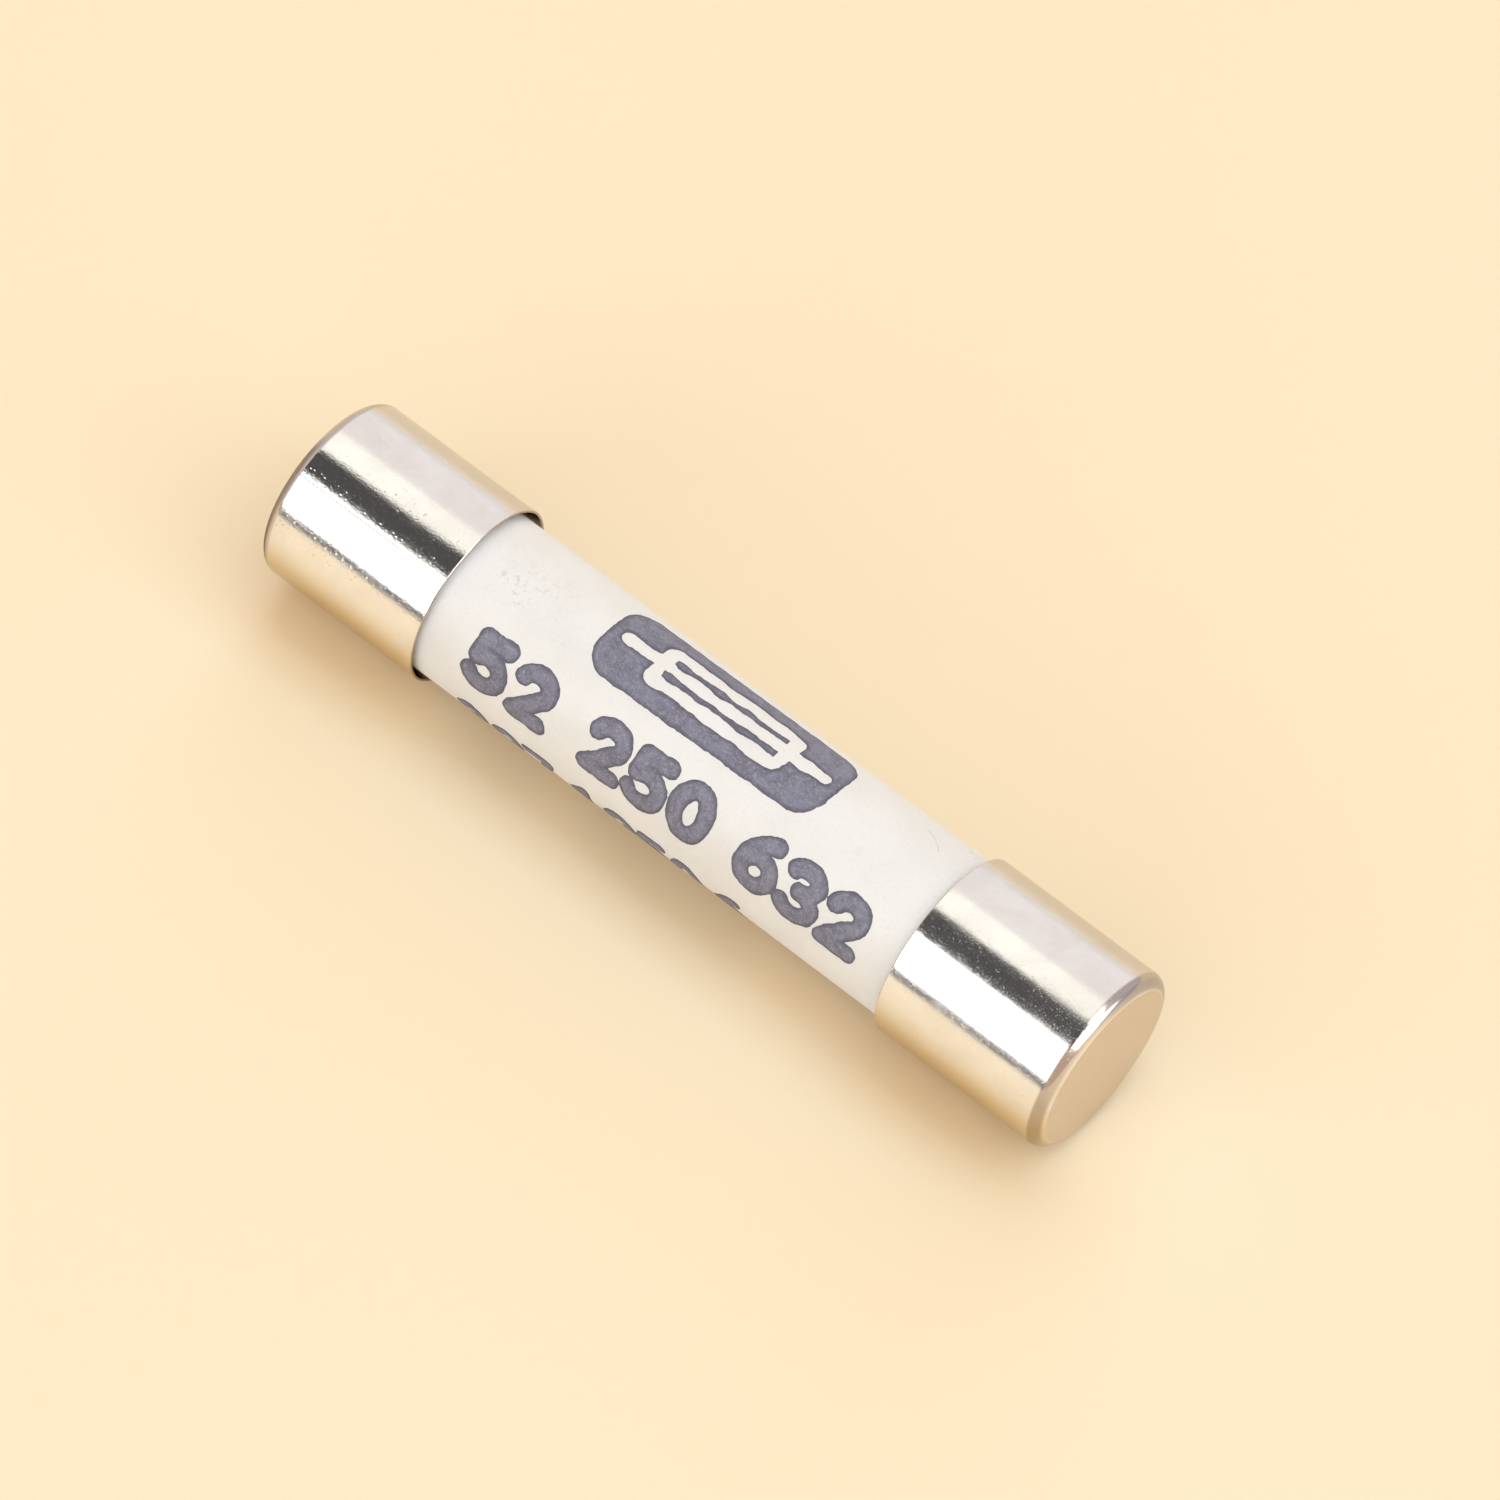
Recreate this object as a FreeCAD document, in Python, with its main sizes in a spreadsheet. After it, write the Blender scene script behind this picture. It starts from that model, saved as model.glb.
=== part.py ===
"""Sand-filled ceramic cartridge fuse with two pressed metal end caps.

The fuse lies along X with its centre at the origin and +Z up. Every turned piece is drawn along +X
from its own zero and then moved to its place. All sizes are millimetres.
"""
import FreeCAD, Part
import os
import Sketcher
from FreeCAD import Placement, Rotation, Vector

# Driving dimensions, one spreadsheet row each.
DIMENSIONS = [
    ("overall_length", 31.4, "over both end faces"),
    ("cap_diameter", 6.4, "outside of the caps, what a fuse clip grips"),
    ("cap_length", 6.33, "end face to mouth"),
    ("cap_wall", 0.2, "side wall of the pressed cap"),
    ("cap_end_thickness", 0.25, "end face of the pressed cap"),
    ("cap_corner_radius", 0.45, "outside corner of the closed end"),
    ("cap_inner_corner_radius", 0.25, "inside corner of the closed end"),
    ("cap_rim_radius", 0.06, "broken edge at the mouth"),
    ("tube_diameter", 5.81, "outside of the ceramic tube"),
    ("tube_bore", 3.6, "bore that holds the sand"),
    ("tube_chamfer", 0.15, "outer edge at each tube end"),
    ("solder_thickness", 0.4, "solder bed between cap and sealing disc"),
    ("solder_diameter", 4.8, "spread of the solder bed"),
    ("disc_thickness", 0.3, "fibre sealing disc"),
    ("disc_diameter", 5.5, "fibre sealing disc"),
    ("disc_hole", 0.4, "hole that passes the wire"),
    ("cement_start", 0.6, "from the tube end to the cement"),
    ("cement_length", 3.4, "band of cement under the cap wall"),
    ("wire_diameter", 0.12, "fuse element"),
    ("wire_bend_radius", 0.15, "centre-line radius of each bend"),
    ("wire_tail", 1.4, "folded end, from the axis"),
    ("wire_clearance", 0.01, "between folded tail and disc"),
    ("ink_thickness", 0.02, "printed layer"),
    ("panel_length", 8.95, "printed panel, along the tube"),
    ("panel_height", 3.2, "printed panel, round the tube"),
    ("panel_corner_radius", 0.95, "printed panel"),
    ("panel_angle", -10.5, "middle of the panel, turned about X from the top"),
    ("symbol_length", 5.1, "box of the fuse symbol"),
    ("symbol_height", 1.7, "box of the fuse symbol"),
    ("symbol_lead", 7.4, "line through the fuse symbol"),
    ("symbol_stroke", 0.4, "line width of the fuse symbol"),
    ("figure_height", 2.1, "one printed figure"),
    ("figure_stroke", 0.5, "line width of a figure"),
    ("rating_width", 1.6, "one figure of the upper row"),
    ("rating_angle", 57.5, "middle of the upper row"),
    ("lower_width", 1.25, "one figure of the lower row"),
    ("lower_angle", 120.0, "middle of the lower row"),
]
SIZE = {name: value for name, value, note in DIMENSIONS}

# Strokes of a plain block figure: top, upper left, upper right, middle, lower left, lower right, bottom.
FIGURE_STROKES = {
    "0": (1, 1, 1, 0, 1, 1, 1),
    "1": (0, 0, 1, 0, 0, 1, 0),
    "2": (1, 0, 1, 1, 1, 0, 1),
    "3": (1, 0, 1, 1, 0, 1, 1),
    "5": (1, 1, 0, 1, 0, 1, 1),
    "6": (1, 1, 0, 1, 1, 1, 1),
    "7": (1, 0, 1, 0, 0, 1, 0),
}
# Figures of each row, with the place of its left edge along the tube.
RATING_ROW = [
    ("5", -7.75), ("2", -6.0),
    ("2", -3.05), ("5", -1.35), ("0", 0.35),
    ("6", 3.05), ("3", 4.7), ("2", 6.35),
]
LOWER_ROW = [
    ("3", -7.8), ("2", -6.4), ("7", -5.1),
    ("1", -3.25), ("2", -1.85), ("5", -0.55), ("0", 0.8),
    ("6", 2.55),
]

doc = FreeCAD.newDocument("cartridge_fuse")
subparts = []


def make_sheet():
    """Write the driving dimensions as plain numbers with aliases."""
    sheet = doc.addObject("Spreadsheet::Sheet", "dims")
    for row, (name, value, note) in enumerate(DIMENSIONS, start=1):
        sheet.set(f"A{row}", name)
        sheet.set(f"B{row}", str(value))
        sheet.set(f"C{row}", note)
        sheet.setAlias(f"B{row}", name)
    doc.recompute()
    return sheet


def new_body(label):
    body = doc.addObject("PartDesign::Body", label)
    body.Label = label
    return body


def keep(feature, label):
    """Name a finished piece after its file."""
    feature.Label = label
    subparts.append(feature)
    return feature


def plane_sketch(body, name, role):
    """Put a sketch on one of the body's own origin planes."""
    plane = next(item for item in body.Origin.OriginFeatures if item.Role == role)
    sketch = body.newObject("Sketcher::SketchObject", name)
    sketch.AttachmentSupport = [(plane, "")]
    sketch.MapMode = "FlatFace"
    return sketch


def dimension(sketch, kind, places, rough, expression):
    """Add one sketch dimension and bind it to the sheet."""
    index = sketch.addConstraint(Sketcher.Constraint(kind, *places, rough))
    sketch.setExpression(f"Constraints[{index}]", expression)


def stepped_profile(sketch, corners, lengths, lift=None):
    """Draw a closed profile of level and upright lines from a rough set of corners.

    lengths binds the length of some of the lines; the first corner sits on the upright axis,
    at the height lift, or on the origin.
    """
    count = len(corners)
    for start, end in zip(corners, corners[1:] + corners[:1]):
        sketch.addGeometry(Part.LineSegment(Vector(*start, 0), Vector(*end, 0)))
    for line in range(count):
        sketch.addConstraint(Sketcher.Constraint("Coincident", line, 2, (line + 1) % count, 1))
        upright = corners[line][0] == corners[(line + 1) % count][0]
        sketch.addConstraint(Sketcher.Constraint("Vertical" if upright else "Horizontal", line))
    if lift is None:
        sketch.addConstraint(Sketcher.Constraint("Coincident", 0, 1, -1, 1))
    else:
        sketch.addConstraint(Sketcher.Constraint("PointOnObject", 0, 1, -2))
        dimension(sketch, "DistanceY", (-1, 1, 0, 1), corners[0][1], lift)
    for line, expression in lengths.items():
        start = corners[line]
        end = corners[(line + 1) % count]
        upright = start[0] == end[0]
        kind = "DistanceY" if upright else "DistanceX"
        run = end[1] - start[1] if upright else end[0] - start[0]
        places = (line, 1, line, 2) if run > 0 else (line, 2, line, 1)
        dimension(sketch, kind, places, abs(run), expression)


def revolve(body, sketch):
    turned = body.newObject("PartDesign::Revolution", f"{body.Label}_turned")
    turned.Profile = sketch
    turned.ReferenceAxis = (sketch, ["H_Axis"])
    turned.Angle = 360
    doc.recompute()
    return turned


def ring_edges(shape, radius, at):
    """Names of the circular edges with this radius whose centre is at this place along X."""
    return [
        f"Edge{number}"
        for number, edge in enumerate(shape.Edges, start=1)
        if isinstance(edge.Curve, Part.Circle)
        and abs(edge.Curve.Radius - radius) < 1e-4
        and abs(edge.Curve.Center.x - at) < 1e-4
    ]


def dress_edges(body, kind, base, edges, size_property, expression):
    """Round or chamfer named edges of the last feature."""
    feature = body.newObject(kind, f"{base.Name}_edge")
    feature.Base = (base, edges)
    feature.setExpression(size_property, expression)
    doc.recompute()
    return feature


def turned_ring(label, inner, outer, length, start):
    """A plain ring along X: inner and outer radius, length and where it starts, as expressions."""
    body = new_body(label)
    sketch = plane_sketch(body, f"{label}_profile", "XZ_Plane")
    corners = [(0, 1), (0, 2), (5, 2), (5, 1)]
    stepped_profile(sketch, corners, {0: f"{outer} - {inner}", 1: length}, lift=inner)
    revolve(body, sketch)
    body.setExpression("Placement.Base.x", start)
    return body


def mirrored_start(side, distance, length):
    """Place of a piece on one side: its face nearest the end lies this far from the centre."""
    return f"-({distance})" if side < 0 else f"{distance} - ({length})"


HALF_TUBE = (
    "(dims.overall_length / 2 - dims.cap_end_thickness - dims.solder_thickness - dims.disc_thickness)"
)
TUBE_RADIUS = "dims.tube_diameter / 2"
CAP_BORE_RADIUS = "(dims.cap_diameter / 2 - dims.cap_wall)"


def make_tube():
    """The ceramic tube, chamfered at both outer edges."""
    body = turned_ring(
        "ceramic_tube", "dims.tube_bore / 2", TUBE_RADIUS, f"2 * {HALF_TUBE}", f"-{HALF_TUBE}"
    )
    radius = SIZE["tube_diameter"] / 2
    length = body.Tip.Shape.BoundBox.XMax
    edges = ring_edges(body.Tip.Shape, radius, 0) + ring_edges(body.Tip.Shape, radius, length)
    dress_edges(body, "PartDesign::Chamfer", body.Tip, edges, "Size", "dims.tube_chamfer")
    return keep(body, "ceramic_tube")


def make_cap(label, side):
    """A deep-drawn cap: closed end at its own zero, mouth towards +X, turned round for the right."""
    body = new_body(label)
    sketch = plane_sketch(body, f"{label}_profile", "XZ_Plane")
    corners = [(0, 0), (0, 3), (6, 3), (6, 2), (1, 2), (1, 0)]
    lengths = {
        0: "dims.cap_diameter / 2",
        1: "dims.cap_length",
        2: "dims.cap_wall",
        5: "dims.cap_end_thickness",
    }
    stepped_profile(sketch, corners, lengths)
    shell = revolve(body, sketch)
    outer = SIZE["cap_diameter"] / 2
    inner = outer - SIZE["cap_wall"]
    mouth = SIZE["cap_length"]
    corner = dress_edges(
        body, "PartDesign::Fillet", shell, ring_edges(shell.Shape, outer, 0), "Radius",
        "dims.cap_corner_radius",
    )
    floor_edges = ring_edges(corner.Shape, inner, SIZE["cap_end_thickness"])
    floor = dress_edges(
        body, "PartDesign::Fillet", corner, floor_edges, "Radius", "dims.cap_inner_corner_radius"
    )
    rim_edges = ring_edges(floor.Shape, outer, mouth) + ring_edges(floor.Shape, inner, mouth)
    dress_edges(body, "PartDesign::Fillet", floor, rim_edges, "Radius", "dims.cap_rim_radius")
    if side > 0:
        body.Placement = Placement(Vector(0, 0, 0), Rotation(Vector(0, 0, 1), 180))
    sign = "-" if side < 0 else ""
    body.setExpression("Placement.Base.x", f"{sign}dims.overall_length / 2")
    return keep(body, label)


def make_cement(label, side):
    """The band of cement that fills the gap between tube and cap wall."""
    start = mirrored_start(side, f"{HALF_TUBE} - dims.cement_start", "dims.cement_length")
    return keep(turned_ring(label, TUBE_RADIUS, CAP_BORE_RADIUS, "dims.cement_length", start), label)


def make_disc(label, side):
    """The fibre disc that closes the tube and lets the wire through."""
    start = mirrored_start(side, f"{HALF_TUBE} + dims.disc_thickness", "dims.disc_thickness")
    disc = turned_ring(
        label, "dims.disc_hole / 2", "dims.disc_diameter / 2", "dims.disc_thickness", start
    )
    return keep(disc, label)


def make_wire():
    """The fuse element: straight through the bore, one end folded up and the other folded down."""
    body = new_body("fuse_wire")
    tail_reach = f"({HALF_TUBE} + dims.disc_thickness + dims.wire_diameter / 2 + dims.wire_clearance)"
    spine = plane_sketch(body, "fuse_wire_path", "XZ_Plane")
    spine.addGeometry(Part.LineSegment(Vector(0, 4, 0), Vector(0, 1, 0)))
    first_bend = Part.Circle(Vector(1, 1, 0), Vector(0, 0, 1), 1)
    spine.addGeometry(Part.ArcOfCircle(first_bend, 3.141593, 4.712389))
    spine.addGeometry(Part.LineSegment(Vector(1, 0, 0), Vector(9, 0, 0)))
    second_bend = Part.Circle(Vector(9, -1, 0), Vector(0, 0, 1), 1)
    spine.addGeometry(Part.ArcOfCircle(second_bend, 0, 1.570796))
    spine.addGeometry(Part.LineSegment(Vector(10, -1, 0), Vector(10, -4, 0)))
    joins = [(0, 2, 1, 1), (1, 2, 2, 1), (2, 2, 3, 2), (3, 1, 4, 1)]
    for join in joins:
        spine.addConstraint(Sketcher.Constraint("Tangent", *join))
    spine.addConstraint(Sketcher.Constraint("PointOnObject", 0, 1, -2))
    spine.addConstraint(Sketcher.Constraint("Vertical", 0))
    spine.addConstraint(Sketcher.Constraint("PointOnObject", 2, 1, -1))
    spine.addConstraint(Sketcher.Constraint("Horizontal", 2))
    spine.addConstraint(Sketcher.Constraint("Vertical", 4))
    for bend in (1, 3):
        dimension(spine, "Radius", (bend,), 1.0, "dims.wire_bend_radius")
    dimension(spine, "DistanceY", (-1, 1, 0, 1), 4.0, "dims.wire_tail")
    dimension(spine, "DistanceY", (4, 2, -1, 1), 4.0, "dims.wire_tail")
    dimension(spine, "DistanceX", (-1, 1, 4, 2), 10.0, f"2 * {tail_reach}")

    section = plane_sketch(body, "fuse_wire_section", "XY_Plane")
    section.setExpression("AttachmentOffset.Base.z", "dims.wire_tail")
    section.addGeometry(Part.Circle(Vector(0, 0, 0), Vector(0, 0, 1), 0.06))
    section.addConstraint(Sketcher.Constraint("Coincident", 0, 3, -1, 1))
    dimension(section, "Diameter", (0,), 0.12, "dims.wire_diameter")
    doc.recompute()

    pipe = body.newObject("PartDesign::AdditivePipe", "fuse_wire_drawn")
    pipe.Profile = section
    pipe.Spine = (spine, [f"Edge{number}" for number in range(1, 6)])
    body.setExpression("Placement.Base.x", f"-{tail_reach}")
    doc.recompute()
    return keep(body, "fuse_wire")


def cylinder_along_x(name, diameter, length, start):
    """A plain cylinder along X whose sizes and start are expressions."""
    cylinder = doc.addObject("Part::Cylinder", name)
    cylinder.Placement = Placement(Vector(0, 0, 0), Rotation(Vector(0, 1, 0), 90))
    cylinder.setExpression("Radius", f"{diameter} / 2")
    cylinder.setExpression("Height", length)
    cylinder.setExpression("Placement.Base.x", start)
    return cylinder


def cut(name, base, tool):
    result = doc.addObject("Part::Cut", name)
    result.Base = base
    result.Tool = tool
    return result


def make_filling(wire):
    """Quartz sand packed round the wire, between the two discs."""
    block = cylinder_along_x("sand_block", "dims.tube_bore", f"2 * {HALF_TUBE}", f"-{HALF_TUBE}")
    return keep(cut("quartz_sand", block, wire), "quartz_sand")


def make_solder(label, side, wire):
    """The solder bed that joins the cap floor to the folded end of the wire."""
    floor = "dims.overall_length / 2 - dims.cap_end_thickness"
    start = mirrored_start(side, floor, "dims.solder_thickness")
    block = cylinder_along_x(f"{label}_block", "dims.solder_diameter", "dims.solder_thickness", start)
    return keep(cut(label, block, wire), label)


def bar(name, length, width, left, low):
    """One upright block over the tube, seen from above as a rectangle of the print."""
    box = doc.addObject("Part::Box", name)
    box.setExpression("Length", length)
    box.setExpression("Width", width)
    box.setExpression("Height", "dims.cap_diameter")
    box.setExpression("Placement.Base.x", left)
    box.setExpression("Placement.Base.y", low)
    return box


def join(name, pieces):
    union = doc.addObject("Part::MultiFuse", name)
    union.Shapes = pieces
    return union


def figure_bars(row_name, order, figure, left, width):
    """The strokes of one block figure, as a list of blocks."""
    height, stroke = "dims.figure_height", "dims.figure_stroke"
    half = f"({height} / 2 + {stroke} / 2)"
    right = f"{left} + {width} - {stroke}"
    layout = [
        (width, stroke, f"{left}", f"{height} / 2 - {stroke}"),
        (stroke, half, f"{left}", f"-{stroke} / 2"),
        (stroke, half, right, f"-{stroke} / 2"),
        (width, stroke, f"{left}", f"-{stroke} / 2"),
        (stroke, half, f"{left}", f"-{height} / 2"),
        (stroke, half, right, f"-{height} / 2"),
        (width, stroke, f"{left}", f"-{height} / 2"),
    ]
    return [
        bar(f"{row_name}_{order}_{stroke_number}", *sizes)
        for stroke_number, (drawn, sizes) in enumerate(zip(FIGURE_STROKES[figure], layout))
        if drawn
    ]


def wrap_on_tube(label, flat, skin, angle):
    """Keep only the thin layer of a flat block that lies on the tube, then turn it to its place."""
    layer = doc.addObject("Part::Common", label)
    layer.Base = flat
    layer.Tool = skin
    layer.Placement = Placement(Vector(0, 0, 0), Rotation(Vector(1, 0, 0), SIZE[angle]))
    return keep(layer, label)


def make_print_panel(skin):
    """A rounded panel with the plain circuit symbol of a fuse left open in it."""
    body = new_body("panel_block")
    sketch = plane_sketch(body, "panel_outline", "XY_Plane")
    corners = [(0, 0), (0, 3), (9, 3), (9, 0)]
    stepped_profile(sketch, corners, {0: "dims.panel_height", 1: "dims.panel_length"})
    pad = body.newObject("PartDesign::Pad", "panel_pad")
    pad.Profile = sketch
    pad.setExpression("Length", "dims.cap_diameter")
    doc.recompute()
    uprights = [
        f"Edge{number}"
        for number, edge in enumerate(pad.Shape.Edges, start=1)
        if edge.BoundBox.ZLength > 1
    ]
    dress_edges(body, "PartDesign::Fillet", pad, uprights, "Radius", "dims.panel_corner_radius")
    body.setExpression("Placement.Base.x", "-dims.panel_length / 2")
    body.setExpression("Placement.Base.y", "-dims.panel_height / 2")

    length, height, line = "dims.symbol_length", "dims.symbol_height", "dims.symbol_stroke"
    strokes = [
        bar("symbol_top", length, line, f"-{length} / 2", f"{height} / 2 - {line}"),
        bar("symbol_bottom", length, line, f"-{length} / 2", f"-{height} / 2"),
        bar("symbol_left", line, height, f"-{length} / 2", f"-{height} / 2"),
        bar("symbol_right", line, height, f"{length} / 2 - {line}", f"-{height} / 2"),
        bar("symbol_line", "dims.symbol_lead", line, "-dims.symbol_lead / 2", f"-{line} / 2"),
    ]
    open_panel = cut("panel_with_symbol", body, join("fuse_symbol", strokes))
    return wrap_on_tube("print_panel", open_panel, skin, "panel_angle")


def make_print_row(label, figures, skin, width, angle):
    """A row of plain numerals."""
    strokes = []
    for order, (figure, left) in enumerate(figures):
        strokes += figure_bars(label, order, figure, left, width)
    return wrap_on_tube(label, join(f"{label}_blocks", strokes), skin, angle)


def make_prints():
    """The three printed layers, all cut from one thin skin over the tube."""
    reach = "dims.overall_length / 2 - dims.cap_length"
    outside = cylinder_along_x(
        "skin_outside", "(dims.tube_diameter + 2 * dims.ink_thickness)", f"2 * ({reach})", f"-({reach})"
    )
    inside = cylinder_along_x("skin_inside", "dims.tube_diameter", f"2 * ({reach})", f"-({reach})")
    skin = cut("ink_skin", outside, inside)
    make_print_panel(skin)
    make_print_row("print_rating_row", RATING_ROW, skin, "dims.rating_width", "rating_angle")
    make_print_row("print_lower_row", LOWER_ROW, skin, "dims.lower_width", "lower_angle")


def check_model():
    """Stop if any object failed or any piece has no sound solid."""
    doc.recompute()
    for item in doc.Objects:
        if "Invalid" in item.State or "Error" in item.State:
            raise RuntimeError(f"{item.Label} failed: {item.State}")
    for piece in subparts:
        if piece.Shape.isNull() or not piece.Shape.isValid() or not piece.Shape.Solids:
            raise RuntimeError(f"{piece.Label} has no valid solid")


def write_pieces():
    os.makedirs("parts", exist_ok=True)
    for piece in subparts:
        piece.Shape.exportStep(os.path.join("parts", f"{piece.Label}.step"))
        box = piece.Shape.BoundBox
        print(
            f"{piece.Label}: {len(piece.Shape.Solids)} solid(s), {piece.Shape.Volume:.3f} mm3,"
            f" x {box.XMin:.2f} to {box.XMax:.2f}, y {box.YMin:.2f} to {box.YMax:.2f},"
            f" z {box.ZMin:.2f} to {box.ZMax:.2f}"
        )


SIDES = (("left", -1), ("right", 1))

make_sheet()
make_tube()
fuse_wire = make_wire()
make_filling(fuse_wire)
for side_name, side_sign in SIDES:
    make_cap(f"end_cap_{side_name}", side_sign)
    make_cement(f"cement_ring_{side_name}", side_sign)
    make_disc(f"sealing_disc_{side_name}", side_sign)
    make_solder(f"solder_{side_name}", side_sign, fuse_wire)
make_prints()
check_model()
write_pieces()
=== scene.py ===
"""Looks of a sand-filled ceramic cartridge fuse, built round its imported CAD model.

The fuse lies along X with its centre at the origin. Lengths are millimetres until a mesh is made;
an angle round the fuse is in degrees from the top, turned about X, so +90 faces the viewer's side (-Y).
"""
import math

import bpy
import numpy as np
from mathutils import Matrix, Vector, noise


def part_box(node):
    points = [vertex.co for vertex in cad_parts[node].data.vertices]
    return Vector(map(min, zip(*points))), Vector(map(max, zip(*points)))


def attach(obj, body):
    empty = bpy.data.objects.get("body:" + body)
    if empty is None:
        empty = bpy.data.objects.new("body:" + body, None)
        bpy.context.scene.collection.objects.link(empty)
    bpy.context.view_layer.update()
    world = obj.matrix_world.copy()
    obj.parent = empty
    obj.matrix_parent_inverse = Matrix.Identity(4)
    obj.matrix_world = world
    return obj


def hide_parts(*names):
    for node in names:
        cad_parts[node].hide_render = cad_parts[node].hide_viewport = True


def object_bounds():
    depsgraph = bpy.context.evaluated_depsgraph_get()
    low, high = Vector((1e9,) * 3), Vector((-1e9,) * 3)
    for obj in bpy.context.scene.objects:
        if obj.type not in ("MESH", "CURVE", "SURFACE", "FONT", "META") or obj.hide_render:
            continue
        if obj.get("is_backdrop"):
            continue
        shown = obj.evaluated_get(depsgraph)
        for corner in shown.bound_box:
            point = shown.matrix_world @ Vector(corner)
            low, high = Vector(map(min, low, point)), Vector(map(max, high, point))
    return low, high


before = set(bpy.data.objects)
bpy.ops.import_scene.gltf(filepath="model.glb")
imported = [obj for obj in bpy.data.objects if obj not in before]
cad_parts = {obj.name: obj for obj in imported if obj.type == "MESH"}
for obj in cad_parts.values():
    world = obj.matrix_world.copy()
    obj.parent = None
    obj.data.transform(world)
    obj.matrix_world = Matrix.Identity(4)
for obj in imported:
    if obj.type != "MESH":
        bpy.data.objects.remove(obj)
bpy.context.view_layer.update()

MM = 0.001

# ---------------------------------------------------------------- sizes taken from the frame

cap_low, cap_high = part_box("end_cap_right")
tube_low, tube_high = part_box("ceramic_tube")
CAP_RADIUS = (cap_high.z - cap_low.z) / 2 / MM
CAP_END = cap_high.x / MM
CAP_MOUTH = cap_low.x / MM
CAP_LENGTH = CAP_END - CAP_MOUTH
TUBE_RADIUS = (tube_high.z - tube_low.z) / 2 / MM
TUBE_END = tube_high.x / MM
TUBE_BORE_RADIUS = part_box("quartz_sand")[1].z / MM

CAP_WALL = 0.2
CAP_RIM = 0.09
CAP_RIM_TAPER = 0.55
CAP_FLOOR = 0.25
CAP_CORNER = 0.45
CAP_CROWN = 0.02
CAP_INNER_CORNER = 0.25
TUBE_CHAMFER = 0.15
INK_THICKNESS = 0.02
SYMBOL_CLOG = 0.1
SIDES_ROUND = 256


# ---------------------------------------------------------------- mesh helpers


def arc(centre, radius, start, end, steps):
    """Points (depth, radius) along a part of a circle, with the angles in degrees."""
    turns = np.radians(np.linspace(start, end, steps))
    return [(centre[0] + radius * math.cos(t), centre[1] + radius * math.sin(t)) for t in turns]


def run(start, end, spacing):
    """Points strictly between two points of an outline, about this far apart."""
    steps = max(1, round(math.dist(start, end) / spacing))
    return [
        (
            start[0] + (end[0] - start[0]) * step / steps,
            start[1] + (end[1] - start[1]) * step / steps,
        )
        for step in range(1, steps)
    ]


def wobble(points, size, seed):
    """Smooth noise, about -1 to 1, at each of an array of points."""
    shift = Vector((seed * 17.3, seed * 5.1, seed * 9.7))
    return np.array([noise.noise(Vector(point) / size + shift) for point in points])


def turned(outline, closed):
    """Turn an outline of (x, radius) points about X: points, faces and the angle at each point.

    An end of an open outline that lies on the axis becomes a single point.
    """
    points, angles, rows, faces = [], [], [], []
    for x, radius in outline:
        on_axis = radius < 1e-6
        count = 1 if on_axis else SIDES_ROUND
        rows.append((len(points), count))
        for step in range(count):
            turn = 2 * math.pi * step / SIDES_ROUND
            points.append((x, -radius * math.sin(turn), radius * math.cos(turn)))
            angles.append(turn)
    pairs = list(zip(rows, rows[1:] + rows[:1])) if closed else list(zip(rows, rows[1:]))
    for (first, first_count), (second, second_count) in pairs:
        for step in range(SIDES_ROUND):
            ahead = (step + 1) % SIDES_ROUND
            if first_count == 1:
                faces.append((first, second + step, second + ahead))
            elif second_count == 1:
                faces.append((first + step, second, first + ahead))
            else:
                faces.append((first + step, second + step, second + ahead, first + ahead))
    return np.array(points), faces, np.array(angles)


def outward(points, faces):
    """Turn the faces of a closed mesh the right way out, judged by its signed volume."""
    volume = 0.0
    for face in faces:
        a, b, c = points[face[0]], points[face[1]], points[face[2]]
        volume += np.dot(a, np.cross(b, c))
        if len(face) == 4:
            volume += np.dot(a, np.cross(c, points[face[3]]))
    return faces if volume > 0 else [tuple(reversed(face)) for face in faces]


def add_mesh(name, points, faces, material, smooth=False):
    """A mesh object of one material in the scene, from points in millimetres."""
    mesh = bpy.data.meshes.new(name)
    mesh.from_pydata((np.asarray(points) * MM).tolist(), [], faces)
    mesh.polygons.foreach_set("use_smooth", [smooth] * len(mesh.polygons))
    mesh.materials.append(material)
    mesh.update()
    thing = bpy.data.objects.new(name, mesh)
    bpy.context.scene.collection.objects.link(thing)
    return thing


def make_piece(name, points, faces, material, node, marks=None):
    """A smooth mesh piece that rides with the fuse and stands for a CAD node.

    marks holds numbers for each point that its material reads, by name.
    """
    piece = add_mesh(name, points, outward(points, faces), material, smooth=True)
    for mark, values in (marks or {}).items():
        attribute = piece.data.attributes.new(mark, "FLOAT", "POINT")
        attribute.data.foreach_set("value", np.asarray(values, np.float32))
    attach(piece, "root")
    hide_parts(node)
    return piece


# ---------------------------------------------------------------- material helpers


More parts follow.
